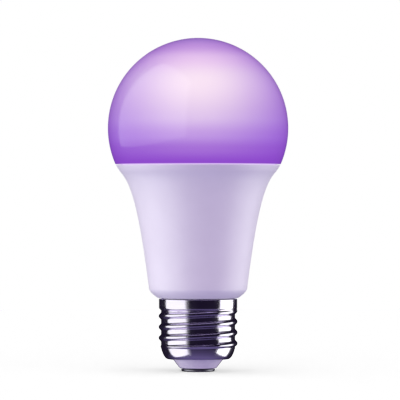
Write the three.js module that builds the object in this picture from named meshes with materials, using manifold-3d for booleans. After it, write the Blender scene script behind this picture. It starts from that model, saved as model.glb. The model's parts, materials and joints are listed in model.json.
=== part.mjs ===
// Smart light bulb: a 60 mm lamp on an E27 screw cap, with an LED board, a radio board and a driver inside.
// Millimetres. The origin is the flat tip of the centre contact, and +Z runs up the axis to the dome's crown.
import * as THREE from "three";
import { mergeVertices } from "three/addons/utils/BufferGeometryUtils.js";
import Module from "manifold-3d";

const wasm = await Module();
wasm.setup();

// ---- Driving dimensions ----

// Gap kept between pieces that touch in the real bulb.
const FIT_GAP = 0.3;

// Diffuser: a sphere down to the seam, with a skirt that reaches into the housing.
const SEAM_Z = 68.8;
const DOME_RADIUS = 30;
const DOME_CENTRE_RISE = 12;
const DIFFUSER_WALL = 1.5;
const SKIRT_DEPTH = 2.3;
const SKIRT_WALL = 1.3;

// Housing: a straight rim band, one long flare, and a rounded shoulder above the screw cap.
const HOUSING_WALL = 1.4;
const RIM_HEIGHT = 2;
const RIM_TAPER = 1.3;
const FLARE_TOP_HANDLE = [-3.07, -3.4];
const FLARE_WAIST_HANDLE = [3.84, 30.8];
const WAIST_RADIUS = 16.3;
const WAIST_RISE = 3;
const SHOULDER_CORNER = [0.5, 1.6];
const NECK_BOTTOM_Z = 10.5;
const RIB_THICKNESS = 1.2;
const RIB_REACH = 1;

// Screw shell: E27, a right-hand round thread rolled in sheet, seven turns to the inch.
const THREAD_CREST_RADIUS = 13;
const THREAD_DEPTH = 0.8;
const THREAD_PITCH = 25.4 / 7;
const THREAD_CREST_Z = 20.1;
const THREAD_BOTTOM_Z = 7.6;
const THREAD_FADE = 1.2;
const COLLAR_TOP_Z = 24;
const COLLAR_HEIGHT = 2.9;
const SHELL_WALL = 0.4;
const SHELL_BASE_Z = 4.1;
const SHELL_BASE_RADIUS = 9.9;
const SHELL_TURN_HANDLES = [[-0.3, -1], [1.3, 0]];

// Cap insulator and centre contact.
const INSULATOR_TOP_RADIUS = 8.4;
const INSULATOR_TIP_RADIUS = 6;
const INSULATOR_FLANGE_HEIGHT = 1.7;
const CONTACT_RADIUS = 5.5;
const CONTACT_EDGE = 0.5;
const CONTACT_HEIGHT = 0.7;
const CONTACT_STEM_RADIUS = 1.6;
const CONTACT_STEM_TOP_Z = 7;

// LED board stack: board on thermal pad on the closed top of the heat sink cup.
const LED_BOARD_DROP = 1.5;
const LED_BOARD_THICKNESS = 1.2;
const LED_BOARD_EDGE_CLEARANCE = 1.2;
const PAD_THICKNESS = 0.5;
const PAD_MARGIN = 1.5;
const CUP_WALL = 1.2;
const CUP_PLATE = 1.5;
const CUP_BOTTOM_Z = 38;
const LINER_WALL = 0.8;
const BEAD_HEIGHT = 0.9;

// Screws that hold the LED board, inside the ring of white LEDs.
const SCREW_RING_INSET = 3.5;
const SCREW_RADIUS = 1.25;
const SCREW_HOLE_CLEARANCE = 0.35;
const SCREW_HEAD_RADIUS = 2.5;
const SCREW_HEAD_TOP_RADIUS = 1.5;
const SCREW_HEAD_HEIGHT = 1.7;
const SCREW_LENGTH = 6;
const SCREW_RECESS = [2.8, 0.7, 0.9];

// LEDs.
const WHITE_LED_COUNT = 12;
const WHITE_LED_SIZE = [3.5, 2.8, 0.8];
const WHITE_LED_EDGE_MARGIN = 5;
const RGB_LED_COUNT = 4;
const RGB_LED_SIZE = [5, 5, 1.5];
const RGB_LED_RING_RADIUS = 9.5;
const LENS_HEIGHT = 0.25;
const LENS_MARGIN = 0.4;

// Radio board, upright on the axis.
const RADIO_BOARD_WIDTH = 16;
const RADIO_BOARD_THICKNESS = 1;
const RADIO_BOARD_RISE = 9;
const RADIO_BOARD_DEPTH = 8;
const SHIELD_SIZE = [11, 6.2, 1.8];
const SHIELD_WALL = 0.4;

// Driver board, upright beside the axis, its foot held between ribs in the housing's neck.
const DRIVER_BOARD_Y = 4;
const DRIVER_BOARD_THICKNESS = 1.6;
const DRIVER_BOARD_BOTTOM_Z = 13;
const DRIVER_BOARD_HEADROOM = 3;
const DRIVER_BOARD_SIDE_CLEARANCE = 0.8;
const PIN_THICKNESS = 0.6;
const PIN_SPACING = 2;
const LED_PIN_COUNT = 4;
const RADIO_PIN_COUNT = 5;
const HEADER_SIZE = 2;

// Rows of components: how far the first starts above the board's foot, the second above the housing's
// floor, and the third above the second.
const NECK_ROW_RISE = 4;
const MIDDLE_ROW_RISE = 3.6;
const UPPER_ROW_RISE = 14.5;

// Components on the driver board's front. Sizes are [across, along, height], x is across the board, and
// rise is how far up its row each one is: its middle, or its lower end if it has a length.
const FUSE_RESISTOR = { radius: 1.5, length: 7, lift: 0.2, x: -4.4, rise: 0 };
const VARISTOR = { radius: 3.5, height: 3.3, x: 3, rise: 3.8 };
const INPUT_CAPACITOR = { radius: 4.5, length: 13.5, x: -6.2, rise: 0 };
const OUTPUT_CAPACITOR = { radius: 4, length: 11, x: 6.4, rise: 11.8 };
const FILM_CAPACITOR = { size: [8.5, 11, 5.5], corner: 0.6, x: 5.4, rise: 5.5 };
const TRANSFORMER = { size: [12, 11, 5], leg: 2.8, x: -5.4, rise: 5.5 };

// Components on its back.
const BRIDGE = { size: [4.7, 3.9, 2.4], leadsPerSide: 2, leadWidth: 0.7, x: 0, rise: 3.5 };
const FILTER_CHOKE = { radius: 3.2, height: 6, x: -1, rise: 3.5 };
const SAFETY_CAPACITOR = { radius: 2.6, height: 2.4, x: 6.5, rise: 5 };
const DRIVER_CHIP = { size: [4.9, 3.9, 1.5], leadsPerSide: 4, leadWidth: 0.45, x: 0, rise: 13 };
const SUPPLY_CHIP = { size: [2.9, 1.6, 1.1], leadsPerSide: 3, leadWidth: 0.4, x: -7, rise: 12 };
const OUTPUT_DIODE = { size: [2.6, 4.3, 2.2], leadsPerSide: 1, leadWidth: 1.5, x: 7, rise: 2 };
const SUPPLY_INDUCTOR = { size: [4, 4, 2.6], corner: 1, x: -7, rise: 4 };
const DIMMING_CHIP = { size: [5, 4, 1.5], leadsPerSide: 5, leadWidth: 0.35, x: 0, rise: 8 };

// Wires inside the cap: where they leave the board, where they bend, and the height of the neutral one's end.
const WIRE_RADIUS = 0.55;
const WIRE_OVERLAP = 2;
const LIVE_WIRE_X = -3;
const LIVE_WIRE_BENDS = [[-2.2, 1.7, 11], [-0.6, 0.5, 9.4], [0, 0, 8.4]];
const NEUTRAL_WIRE_X = 4;
const NEUTRAL_END_Z = 8.6;
const NEUTRAL_WIRE_BENDS = [[4.4, 2.1, 11], [6, 1, 9.4], [8.5, 0.2, NEUTRAL_END_Z]];

// Fineness of the curved surfaces.
const ROUND_SEGMENTS = 36;
const SHELL_SEGMENTS = 28;
const SMALL_SEGMENTS = 14;
const LEAD_SEGMENTS = 8;
const DOME_STEPS = 12;
const FLARE_STEPS = 9;
const SHOULDER_STEPS = 3;
const SHELL_TURN_STEPS = 5;
const CONTACT_EDGE_STEPS = 3;
const THREAD_STEPS_PER_PITCH = 5;
const WIRE_STEPS = 12;
const HEIGHT_TOLERANCE = 1e-6;

// ---- Sizes and places that follow ----

const DOME_CENTRE_Z = SEAM_Z + DOME_CENTRE_RISE;
const RIM_TOP_Z = SEAM_Z - FIT_GAP;
const RIM_RADIUS = sphereRadiusAt(DOME_RADIUS, RIM_TOP_Z);
const THREAD_ROOT_RADIUS = THREAD_CREST_RADIUS - THREAD_DEPTH;
const BASE_Z = COLLAR_TOP_Z + FIT_GAP;
const BASE_RADIUS = THREAD_CREST_RADIUS + FIT_GAP;
const NECK_RADIUS = THREAD_ROOT_RADIUS - SHELL_WALL - FIT_GAP;
const NECK_BORE_RADIUS = NECK_RADIUS - HOUSING_WALL;

const LED_BOARD_TOP_Z = SEAM_Z - LED_BOARD_DROP;
const LED_BOARD_Z = LED_BOARD_TOP_Z - LED_BOARD_THICKNESS;
const PAD_Z = LED_BOARD_Z - FIT_GAP - PAD_THICKNESS;
const CUP_TOP_Z = PAD_Z - FIT_GAP;
const CUP_PLATE_Z = CUP_TOP_Z - CUP_PLATE;

const DRIVER_FRONT_Y = DRIVER_BOARD_Y - DRIVER_BOARD_THICKNESS / 2;
const DRIVER_BACK_Y = DRIVER_BOARD_Y + DRIVER_BOARD_THICKNESS / 2;
const DRIVER_TOP_Z = CUP_PLATE_Z - DRIVER_BOARD_HEADROOM;
const RADIO_BOARD_Z = CUP_PLATE_Z - RADIO_BOARD_DEPTH;
const HOUSING_FLOOR_Z = BASE_Z + HOUSING_WALL;

// Outside of the housing from the rim down to its base, and the walls that lie inside it.
const housingOutside = housingProfile();
const housingInside = inset(housingOutside, HOUSING_WALL);
const cupOutside = inset(housingOutside, HOUSING_WALL + FIT_GAP);
const cupInside = inset(cupOutside, CUP_WALL);
const linerOutside = inset(cupInside, FIT_GAP);
const linerInside = inset(linerOutside, LINER_WALL);
const skirtOutside = cupOutside;
const skirtInside = inset(skirtOutside, SKIRT_WALL);
const SKIRT_BOTTOM_Z = SEAM_Z - SKIRT_DEPTH;
const LED_BOARD_RADIUS = radiusAt(skirtInside, SKIRT_BOTTOM_Z) - LED_BOARD_EDGE_CLEARANCE;
const WHITE_LED_RING_RADIUS = LED_BOARD_RADIUS - WHITE_LED_EDGE_MARGIN;
const SCREW_OFFSET = WHITE_LED_RING_RADIUS - SCREW_RING_INSET;

// ---- Finishes ----

const opal = finish(0xd9b8ec, 0.35, 0);
const whitePlastic = finish(0xe6dcf0, 0.45, 0);
const blackPlastic = finish(0x26262a, 0.5, 0);
const nickel = finish(0xb9b4c4, 0.25, 1);
const aluminium = finish(0xc2c4c8, 0.45, 1);
const insulatorPlastic = finish(0xb9aec9, 0.5, 0);
const silicone = finish(0xe9e9e6, 0.6, 0);
const padGrey = finish(0x8c939c, 0.8, 0);
const boardWhite = finish(0xf2f2ee, 0.5, 0);
const boardGreen = finish(0x1f6b3a, 0.5, 0);
const ledBody = finish(0xf5f3ea, 0.4, 0);
const copper = finish(0xb5622d, 0.35, 1);
const ferrite = finish(0x3b3a3d, 0.7, 0);
const blueCoating = finish(0x2a5db0, 0.4, 0);
const greenCoating = finish(0x3f7f54, 0.4, 0);
const yellowCase = finish(0xd8b23a, 0.45, 0);
const blackSleeve = finish(0x1d1f2b, 0.35, 0);
const redWire = finish(0xb3302b, 0.45, 0);
const whiteWire = finish(0xe8e6e0, 0.45, 0);

function finish(color, roughness, metalness) {
  return new THREE.MeshStandardMaterial({ color, roughness, metalness });
}

// ---- Profiles: lists of [radius, height] ----

function sphereRadiusAt(radius, z) {
  return Math.sqrt(radius ** 2 - (z - DOME_CENTRE_Z) ** 2);
}

// Points of a plane curve, without its first one.
function curvePoints(curve, steps) {
  return curve.getPoints(steps).slice(1).map((p) => [p.x, p.y]);
}

function housingProfile() {
  const crease = [RIM_RADIUS - RIM_TAPER, RIM_TOP_Z - RIM_HEIGHT];
  const waist = [WAIST_RADIUS, BASE_Z + WAIST_RISE];
  const flare = new THREE.CubicBezierCurve(
    new THREE.Vector2(...crease),
    new THREE.Vector2(crease[0] + FLARE_TOP_HANDLE[0], crease[1] + FLARE_TOP_HANDLE[1]),
    new THREE.Vector2(waist[0] + FLARE_WAIST_HANDLE[0], waist[1] + FLARE_WAIST_HANDLE[1]),
    new THREE.Vector2(...waist),
  );
  const shoulder = new THREE.QuadraticBezierCurve(
    new THREE.Vector2(...waist),
    new THREE.Vector2(WAIST_RADIUS - SHOULDER_CORNER[0], BASE_Z + SHOULDER_CORNER[1]),
    new THREE.Vector2(BASE_RADIUS, BASE_Z),
  );
  return [
    [RIM_RADIUS, RIM_TOP_Z],
    crease,
    ...curvePoints(flare, FLARE_STEPS),
    ...curvePoints(shoulder, SHOULDER_STEPS),
  ];
}

// A downward profile moved towards the axis by a distance, mitred at each corner.
function inset(profile, distance) {
  const normals = profile.slice(1).map(([r, z], i) => {
    const along = new THREE.Vector2(r - profile[i][0], z - profile[i][1]).normalize();
    return new THREE.Vector2(along.y, -along.x);
  });
  return profile.map(([r, z], i) => {
    const before = normals[Math.max(i - 1, 0)];
    const after = normals[Math.min(i, normals.length - 1)];
    const mitre = before.clone().add(after).normalize();
    const reach = distance / mitre.dot(before);
    return [r + mitre.x * reach, z + mitre.y * reach];
  });
}

// Radius of a downward profile at a height. Past either end, it runs on along its last stretch.
function radiusAt(profile, height) {
  const reached = profile.findIndex(([, z]) => z <= height);
  const below = reached < 0 ? profile.length - 1 : Math.max(1, reached);
  const [r0, z0] = profile[below - 1];
  const [r1, z1] = profile[below];
  return r0 + ((r1 - r0) * (height - z0)) / (z1 - z0);
}

// The stretch of a downward profile between two heights.
function between(profile, top, bottom) {
  return [
    [radiusAt(profile, top), top],
    ...profile.filter(([, z]) => z < top && z > bottom),
    [radiusAt(profile, bottom), bottom],
  ];
}

// Arc of a sphere about the dome's centre, from a height up to the crown.
function domeArc(radius, fromZ) {
  const start = Math.asin((fromZ - DOME_CENTRE_Z) / radius);
  return Array.from({ length: DOME_STEPS + 1 }, (_, i) => {
    const angle = start + ((Math.PI / 2 - start) * i) / DOME_STEPS;
    return [i === DOME_STEPS ? 0 : radius * Math.cos(angle), DOME_CENTRE_Z + radius * Math.sin(angle)];
  });
}

// ---- Geometry helpers ----

// A profile turned about Z. It runs anticlockwise round the section, with the radius to the right.
function turned(profile, segments = ROUND_SEGMENTS) {
  const points = profile.map(([r, z]) => new THREE.Vector2(r, z));
  if (points[0].x > 0) points.push(points[0].clone());
  return new THREE.LatheGeometry(points, segments).rotateX(Math.PI / 2);
}

// A box that stands on z, centred on x and y.
function block([width, depth, height], x = 0, y = 0, z = 0) {
  return new THREE.BoxGeometry(width, depth, height).translate(x, y, z + height / 2);
}

// A disc or rod that stands on z.
function rod(radius, height, x = 0, y = 0, z = 0, segments = SMALL_SEGMENTS) {
  return new THREE.CylinderGeometry(radius, radius, height, segments)
    .rotateX(Math.PI / 2)
    .translate(x, y, z + height / 2);
}

// A block whose upright edges are rounded.
function roundedBlock({ size: [width, depth, height], corner }) {
  const x = width / 2 - corner;
  const y = depth / 2 - corner;
  const outline = new THREE.Shape();
  outline.absarc(x, y, corner, 0, Math.PI / 2);
  outline.absarc(-x, y, corner, Math.PI / 2, Math.PI);
  outline.absarc(-x, -y, corner, Math.PI, (3 * Math.PI) / 2);
  outline.absarc(x, -y, corner, (3 * Math.PI) / 2, 2 * Math.PI);
  return new THREE.ExtrudeGeometry(outline, { depth: height, bevelEnabled: false, curveSegments: 2 });
}

function toSolid(geometry) {
  const bare = geometry.clone();
  bare.deleteAttribute("normal");
  bare.deleteAttribute("uv");
  const merged = mergeVertices(bare);
  return new wasm.Manifold(
    new wasm.Mesh({
      numProp: 3,
      vertProperties: merged.attributes.position.array,
      triVerts: new Uint32Array(merged.index.array),
    }),
  );
}

function toGeometry(solid) {
  const mesh = solid.getMesh();
  const geometry = new THREE.BufferGeometry();
  geometry.setAttribute("position", new THREE.BufferAttribute(mesh.vertProperties, 3));
  geometry.setIndex(new THREE.BufferAttribute(mesh.triVerts, 1));
  geometry.computeVertexNormals();
  return geometry;
}

function joined(...geometries) {
  return toGeometry(geometries.map(toSolid).reduce((whole, next) => whole.add(next)));
}

function cut(geometry, ...tools) {
  return toGeometry(tools.map(toSolid).reduce((rest, tool) => rest.subtract(tool), toSolid(geometry)));
}

// A named mesh, placed in its parent group.
function piece(parent, name, geometry, material, [x, y, z] = [0, 0, 0]) {
  const mesh = new THREE.Mesh(geometry, material);
  mesh.name = name;
  mesh.position.set(x, y, z);
  parent.add(mesh);
  return mesh;
}

// ---- Diffuser and housing ----

function diffuserGeometry() {
  const outerArc = domeArc(DOME_RADIUS, SEAM_Z);
  const innerArc = domeArc(DOME_RADIUS - DIFFUSER_WALL, SEAM_Z + DIFFUSER_WALL);
  return turned([
    ...innerArc.reverse(),
    ...between(skirtInside, SEAM_Z, SKIRT_BOTTOM_Z),
    ...between(skirtOutside, SEAM_Z, SKIRT_BOTTOM_Z).reverse(),
    ...outerArc,
  ]);
}

// Bead of silicone on the heat sink's edge, under the skirt.
function beadGeometry() {
  const bottom = CUP_TOP_Z + FIT_GAP;
  const top = bottom + BEAD_HEIGHT;
  const wall = inset(housingInside, FIT_GAP);
  const inner = LED_BOARD_RADIUS + FIT_GAP;
  return turned([
    [inner, bottom],
    ...between(wall, top, bottom).reverse(),
    [inner, top],
  ]);
}

// Ribs on each side of the driver board's foot, grown from the neck's wall.
function ribGeometries() {
  const wallMiddle = NECK_BORE_RADIUS + HOUSING_WALL / 2;
  const reachFrom = footHalfWidth() - RIB_REACH;
  const height = BASE_Z - DRIVER_BOARD_BOTTOM_Z;
  const neckCore = toSolid(rod(wallMiddle, height, 0, 0, DRIVER_BOARD_BOTTOM_Z, ROUND_SEGMENTS));
  const offset = DRIVER_BOARD_THICKNESS / 2 + FIT_GAP + RIB_THICKNESS / 2;
  return [-1, 1].flatMap((end) =>
    [-1, 1].map((face) => {
      const size = [wallMiddle - reachFrom, RIB_THICKNESS, height];
      const middle = (end * (wallMiddle + reachFrom)) / 2;
      const rib = block(size, middle, DRIVER_BOARD_Y + face * offset, DRIVER_BOARD_BOTTOM_Z);
      return toGeometry(toSolid(rib).intersect(neckCore));
    }),
  );
}

function housingGeometry() {
  const shell = turned([
    ...between(housingInside, RIM_TOP_Z, HOUSING_FLOOR_Z),
    [NECK_BORE_RADIUS, HOUSING_FLOOR_Z],
    [NECK_BORE_RADIUS, NECK_BOTTOM_Z],
    [NECK_RADIUS, NECK_BOTTOM_Z],
    [NECK_RADIUS, BASE_Z],
    ...[...housingOutside].reverse(),
  ]);
  return joined(shell, ...ribGeometries());
}

// ---- Screw cap ----

// Radius of the rolled sheet's outside at an angle and a height.
function threadRadius(angle, z) {
  const turns = (z - THREAD_CREST_Z) / THREAD_PITCH - angle / (2 * Math.PI);
  const wave = THREAD_ROOT_RADIUS + (THREAD_DEPTH * (1 + Math.cos(2 * Math.PI * turns))) / 2;
  const collarZ = COLLAR_TOP_Z - COLLAR_HEIGHT;
  const toCollar = THREE.MathUtils.smoothstep(z, collarZ - THREAD_FADE, collarZ);
  const toBase = 1 - THREE.MathUtils.smoothstep(z, THREAD_BOTTOM_Z, THREAD_BOTTOM_Z + THREAD_FADE);
  const faded = THREE.MathUtils.lerp(wave, THREAD_CREST_RADIUS, toCollar);
  return THREE.MathUtils.lerp(faded, THREAD_ROOT_RADIUS, toBase);
}

// Where the sheet turns in from the thread to the lip round the insulator.
function shellTurn() {
  const [topHandle, baseHandle] = SHELL_TURN_HANDLES;
  const curve = new THREE.CubicBezierCurve(
    new THREE.Vector2(THREAD_ROOT_RADIUS, THREAD_BOTTOM_Z),
    new THREE.Vector2(THREAD_ROOT_RADIUS + topHandle[0], THREAD_BOTTOM_Z + topHandle[1]),
    new THREE.Vector2(SHELL_BASE_RADIUS + baseHandle[0], SHELL_BASE_Z + baseHandle[1]),
    new THREE.Vector2(SHELL_BASE_RADIUS, SHELL_BASE_Z),
  );
  return [...curvePoints(curve, SHELL_TURN_STEPS), [INSULATOR_TOP_RADIUS + FIT_GAP, SHELL_BASE_Z]];
}

function screwShellGeometry() {
  const collarZ = COLLAR_TOP_Z - COLLAR_HEIGHT;
  const rows = Math.round(((collarZ - THREAD_BOTTOM_Z) * THREAD_STEPS_PER_PITCH) / THREAD_PITCH);
  const rowHeight = (collarZ - THREAD_BOTTOM_Z) / rows;
  const heights = Array.from({ length: rows + 1 }, (_, i) => collarZ - rowHeight * i);
  const outside = [
    [THREAD_CREST_RADIUS, COLLAR_TOP_Z],
    ...heights.map((z) => [THREAD_CREST_RADIUS, z]),
    ...shellTurn(),
  ];
  const threadEnd = heights.length + 1;
  const insideTop = outside.slice(0, threadEnd).map(([r, z]) => [r - SHELL_WALL, z]);
  const insideTurn = inset(outside.slice(threadEnd - 1), SHELL_WALL).slice(1);
  const geometry = turned([...insideTop, ...insideTurn, ...outside.reverse()], SHELL_SEGMENTS);
  const position = geometry.getAttribute("position");
  for (let i = 0; i < position.count; i++) {
    const [x, y, z] = [position.getX(i), position.getY(i), position.getZ(i)];
    if (z < THREAD_BOTTOM_Z - HEIGHT_TOLERANCE || z > collarZ + HEIGHT_TOLERANCE) continue;
    const radius = Math.hypot(x, y);
    const scale = (radius + threadRadius(Math.atan2(y, x), z) - THREAD_CREST_RADIUS) / radius;
    position.setXY(i, x * scale, y * scale);
  }
  return geometry;
}

function capInsulatorGeometry() {
  const bore = CONTACT_STEM_RADIUS + FIT_GAP;
  const tipZ = CONTACT_HEIGHT + FIT_GAP;
  const flangeZ = SHELL_BASE_Z + SHELL_WALL + FIT_GAP;
  const flangeTopZ = flangeZ + INSULATOR_FLANGE_HEIGHT;
  const seat = inset([[THREAD_ROOT_RADIUS, THREAD_BOTTOM_Z], ...shellTurn()], SHELL_WALL + FIT_GAP);
  return turned(
    [
      [bore, tipZ],
      [INSULATOR_TIP_RADIUS, tipZ],
      [INSULATOR_TOP_RADIUS, SHELL_BASE_Z],
      [INSULATOR_TOP_RADIUS, flangeZ],
      ...seat.filter(([, z]) => z < flangeTopZ).reverse(),
      [radiusAt(seat, flangeTopZ), flangeTopZ],
      [bore, flangeTopZ],
    ],
    SHELL_SEGMENTS,
  );
}

function centreContactGeometry() {
  const edge = new THREE.EllipseCurve(
    CONTACT_RADIUS - CONTACT_EDGE, CONTACT_EDGE, CONTACT_EDGE, CONTACT_EDGE, -Math.PI / 2, 0,
  );
  return turned(
    [
      [0, 0],
      ...edge.getPoints(CONTACT_EDGE_STEPS).map((p) => [p.x, p.y]),
      [CONTACT_RADIUS, CONTACT_HEIGHT],
      [CONTACT_STEM_RADIUS, CONTACT_HEIGHT],
      [CONTACT_STEM_RADIUS, CONTACT_STEM_TOP_Z],
      [0, CONTACT_STEM_TOP_Z],
    ],
    SHELL_SEGMENTS,
  );
}

// ---- Heat sink and LED board ----

// Windows through the stack: one for the radio board and the LED pins, and one round hole for each screw.
function stackCuts(z, height, holeRadius) {
  const margin = 2 * FIT_GAP;
  const front = -RADIO_BOARD_THICKNESS / 2 - margin;
  const back = DRIVER_BOARD_Y + PIN_THICKNESS / 2 + margin;
  const size = [RADIO_BOARD_WIDTH + 2 * margin, back - front, height + 2];
  const window = block(size, 0, (front + back) / 2, z - 1);
  return [window, ...screwPlaces().map((x) => rod(holeRadius, height + 2, x, 0, z - 1))];
}

function screwPlaces() {
  return [-SCREW_OFFSET, SCREW_OFFSET];
}

function heatSinkCupGeometry() {
  const cup = turned([
    [0, CUP_PLATE_Z],
    ...between(cupInside, CUP_PLATE_Z, CUP_BOTTOM_Z),
    ...between(cupOutside, CUP_TOP_Z, CUP_BOTTOM_Z).reverse(),
    [0, CUP_TOP_Z],
  ]);
  return cut(cup, ...stackCuts(CUP_PLATE_Z, CUP_PLATE, SCREW_RADIUS + FIT_GAP));
}

function linerGeometry() {
  const top = CUP_PLATE_Z - FIT_GAP;
  return turned([
    ...between(linerInside, top, CUP_BOTTOM_Z),
    ...between(linerOutside, top, CUP_BOTTOM_Z).reverse(),
  ]);
}

function thermalPadGeometry() {
  const pad = rod(LED_BOARD_RADIUS - PAD_MARGIN, PAD_THICKNESS, 0, 0, PAD_Z, ROUND_SEGMENTS);
  return cut(pad, ...stackCuts(PAD_Z, PAD_THICKNESS, SCREW_RADIUS + SCREW_HOLE_CLEARANCE));
}

// Disc with a slot for the radio board, a slot for the pins and two screw holes.
function ledBoardGeometry() {
  const deep = LED_BOARD_THICKNESS + 2;
  const from = LED_BOARD_Z - 1;
  const margin = 2 * FIT_GAP;
  const slot = (width, thickness, y) => block([width + margin, thickness + margin, deep], 0, y, from);
  const pinSpan = (LED_PIN_COUNT - 1) * PIN_SPACING + PIN_THICKNESS;
  return cut(
    rod(LED_BOARD_RADIUS, LED_BOARD_THICKNESS, 0, 0, LED_BOARD_Z, ROUND_SEGMENTS),
    slot(RADIO_BOARD_WIDTH, RADIO_BOARD_THICKNESS, 0),
    slot(pinSpan, PIN_THICKNESS, DRIVER_BOARD_Y),
    ...screwPlaces().map((x) => rod(SCREW_RADIUS + SCREW_HOLE_CLEARANCE, deep, x, 0, from)),
  );
}

// Pan-head screw with a cross recess. Its head rests on z = 0.
function screwGeometry() {
  const [recessLength, recessWidth, recessDepth] = SCREW_RECESS;
  const recessZ = SCREW_HEAD_HEIGHT - recessDepth;
  const shape = turned(
    [
      [0, -SCREW_LENGTH],
      [SCREW_RADIUS / 2, -SCREW_LENGTH],
      [SCREW_RADIUS, SCREW_RADIUS - SCREW_LENGTH],
      [SCREW_RADIUS, 0],
      [SCREW_HEAD_RADIUS, 0],
      [SCREW_HEAD_RADIUS, SCREW_HEAD_HEIGHT / 2],
      [SCREW_HEAD_TOP_RADIUS, SCREW_HEAD_HEIGHT],
      [0, SCREW_HEAD_HEIGHT],
    ],
    SMALL_SEGMENTS,
  );
  return cut(
    shape,
    block([recessLength, recessWidth, SCREW_HEAD_HEIGHT], 0, 0, recessZ),
    block([recessWidth, recessLength, SCREW_HEAD_HEIGHT], 0, 0, recessZ),
  );
}

// LED package with a round lens on top.
function ledGeometry([length, width, height]) {
  const lensRadius = width / 2 - LENS_MARGIN;
  return joined(block([length, width, height]), rod(lensRadius, height + LENS_HEIGHT));
}

// LEDs in a ring on the board, every one turned to face the axis.
function ledRing(parent, names, radius, size, firstAngle) {
  const geometry = ledGeometry(size);
  names.forEach((name, i) => {
    const angle = firstAngle + (2 * Math.PI * i) / names.length;
    const place = [radius * Math.cos(angle), radius * Math.sin(angle), LED_BOARD_TOP_Z + FIT_GAP];
    piece(parent, name, geometry, ledBody, place).rotation.z = angle;
  });
}

// Moulded strip, square in section, with a row of pins along X from one height to another.
function pinHeaderGeometry(count, stripSize, pinBottom, pinTop) {
  const span = (count - 1) * PIN_SPACING;
  const pins = Array.from({ length: count }, (_, i) =>
    block([PIN_THICKNESS, PIN_THICKNESS, pinTop - pinBottom], i * PIN_SPACING - span / 2, 0, pinBottom),
  );
  return joined(block([span + PIN_SPACING, stripSize, stripSize]), ...pins);
}

// ---- Boards ----

// Half the width of a board that stands off the axis in a round space.
function halfChord(radius, offset) {
  return Math.sqrt(radius ** 2 - offset ** 2);
}

// Half the width of the driver board's foot, inside the neck.
function footHalfWidth() {
  return halfChord(NECK_BORE_RADIUS - DRIVER_BOARD_SIDE_CLEARANCE, DRIVER_BACK_Y);
}

function driverBoardGeometry() {
  const foot = footHalfWidth();
  const wide = halfChord(radiusAt(linerInside, CUP_BOTTOM_Z) - DRIVER_BOARD_SIDE_CLEARANCE, DRIVER_BACK_Y);
  const footTop = HOUSING_FLOOR_Z + DRIVER_BOARD_SIDE_CLEARANCE;
  const outline = new THREE.Shape();
  outline.moveTo(-foot, DRIVER_BOARD_BOTTOM_Z);
  outline.lineTo(foot, DRIVER_BOARD_BOTTOM_Z);
  outline.lineTo(foot, footTop);
  outline.lineTo(wide, footTop + wide - foot);
  outline.lineTo(wide, DRIVER_TOP_Z);
  outline.lineTo(-wide, DRIVER_TOP_Z);
  outline.lineTo(-wide, footTop + wide - foot);
  outline.lineTo(-foot, footTop);
  return new THREE.ExtrudeGeometry(outline, { depth: DRIVER_BOARD_THICKNESS, bevelEnabled: false })
    .rotateX(Math.PI / 2)
    .translate(0, DRIVER_BACK_Y, 0);
}

function radioBoardGeometry() {
  const height = LED_BOARD_TOP_Z + RADIO_BOARD_RISE - RADIO_BOARD_Z;
  return block([RADIO_BOARD_WIDTH, RADIO_BOARD_THICKNESS, height], 0, 0, RADIO_BOARD_Z);
}

// Pressed can, open towards its board.
function shieldGeometry([width, depth, height]) {
  const inner = [width - 2 * SHIELD_WALL, depth - 2 * SHIELD_WALL, height];
  const can = roundedBlock({ size: [width, depth, height], corner: 2 * SHIELD_WALL });
  return cut(can, block(inner, 0, 0, -SHIELD_WALL));
}

// A group on a board's face, in which X is across the board, Y is up it and Z is out of it.
function boardFace(parent, y, turn) {
  const face = new THREE.Group();
  face.position.y = y;
  face.rotation.set(Math.PI / 2, 0, turn, "ZYX");
  parent.add(face);
  return face;
}

// A component a gap above its board, as far up its row as it says.
function component(face, row, name, spec, shape, material) {
  piece(face, name, shape(spec), material, [spec.x, row + spec.rise, FIT_GAP]);
}

// ---- Components: the board is at z = 0 and the component rises from it, its length along Y ----

// Electrolytic capacitor that lies on its side, with a groove rolled near one end.
function canGeometry({ radius, length }) {
  const round = 0.4;
  const grooveY = 2;
  return turned(
    [
      [0, 0],
      [radius - round, 0],
      [radius, round],
      [radius, grooveY - round],
      [radius - round, grooveY],
      [radius, grooveY + round],
      [radius, length - round],
      [radius - round, length],
      [0, length],
    ],
    SMALL_SEGMENTS,
  )
    .rotateX(-Math.PI / 2)
    .translate(0, 0, radius);
}

// Axial resistor with swollen ends and two leads bent down to the board.
function resistorGeometry({ radius, length, lift }) {
  const neck = radius * 0.85;
  const endLength = length / 5;
  const leadRadius = 0.35;
  const leadOut = 0.8;
  const body = turned(
    [
      [0, 0],
      [radius, 0],
      [radius, endLength],
      [neck, endLength + radius - neck],
      [neck, length - endLength - radius + neck],
      [radius, length - endLength],
      [radius, length],
      [0, length],
    ],
    SMALL_SEGMENTS,
  )
    .rotateX(-Math.PI / 2)
    .translate(0, 0, radius + lift);
  const lead = (height, y) => rod(leadRadius, height, 0, y, 0, LEAD_SEGMENTS);
  const crossbar = lead(length + 2 * (leadOut + leadRadius), 0)
    .rotateX(-Math.PI / 2)
    .translate(0, -leadOut - leadRadius, radius + lift);
  return joined(body, crossbar, lead(radius + lift, -leadOut), lead(radius + lift, length + leadOut));
}

// Coated disc that lies flat on the board.
function discGeometry({ radius, height }) {
  const round = height / 3;
  return turned(
    [
      [0, 0],
      [radius - round, 0],
      [radius, round],
      [radius, height - round],
      [radius - round, height],
      [0, height],
    ],
    SMALL_SEGMENTS,
  );
}

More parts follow.
